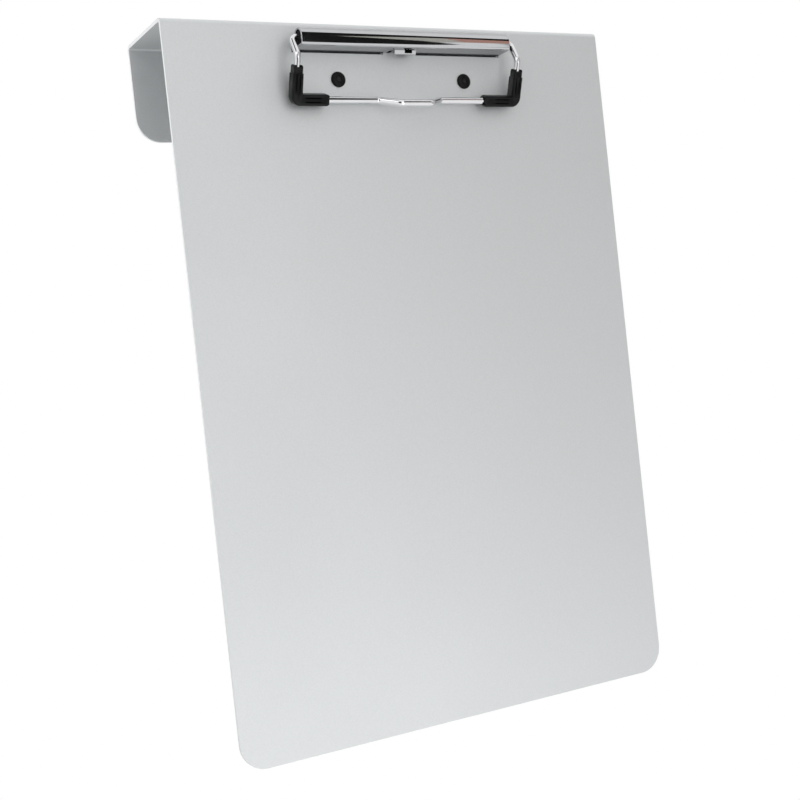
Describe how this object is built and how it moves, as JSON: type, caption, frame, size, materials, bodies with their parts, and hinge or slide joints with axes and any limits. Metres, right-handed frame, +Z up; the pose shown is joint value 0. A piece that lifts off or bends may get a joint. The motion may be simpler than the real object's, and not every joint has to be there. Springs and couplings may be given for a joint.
{
  "type": "hanging clipboard",
  "caption": "Hanging clipboard of folded aluminium sheet that hooks over a rail, with a chromed barrel clip whose sprung wire bail, with black corner sleeves, swings out to take paper.",
  "frame": {"origin": "middle of the hook's seat, the underside of the fold that rests on the rail", "axes": "+X right as seen from the front, +Y from the front face back into the hook, +Z up"},
  "size_m": [0.229, 0.0593, 0.324],
  "materials": {
    "satin_aluminium": "satin anodised sheet",
    "chromed_strip": "bright plated",
    "chromed_wire": "bright plated",
    "black_vinyl": "moulded, satin",
    "black_nylon": "moulded",
    "spring_steel": "drawn wire",
    "black_rivet": "black coated",
    "mandrel_steel": "broken end"
  },
  "bodies": {
    "hanging_board": {"board": "satin_aluminium", "clip_body": "chromed_strip", "left_pivot_bush": "black_nylon", "right_pivot_bush": "black_nylon", "left_torsion_spring": "spring_steel", "right_torsion_spring": "spring_steel", "left_rivet": "black_rivet", "right_rivet": "black_rivet", "left_rivet_mandrel": "mandrel_steel", "right_rivet_mandrel": "mandrel_steel"},
    "bail": {"bail_wire": "chromed_wire", "left_corner_sleeve": "black_vinyl", "right_corner_sleeve": "black_vinyl"}
  },
  "joints": [
    {"name": "bail_hinge", "type": "hinge", "parent": "hanging_board", "child": "bail", "pos_m": [0, -0.03025, -0.00745], "axis": [-1, 0, 0], "range_deg": [0, 95], "stiffness_Nm_per_rad": 0.12, "springref_deg": -71.62, "deforming": ["left_torsion_spring", "right_torsion_spring"]}
  ]
}
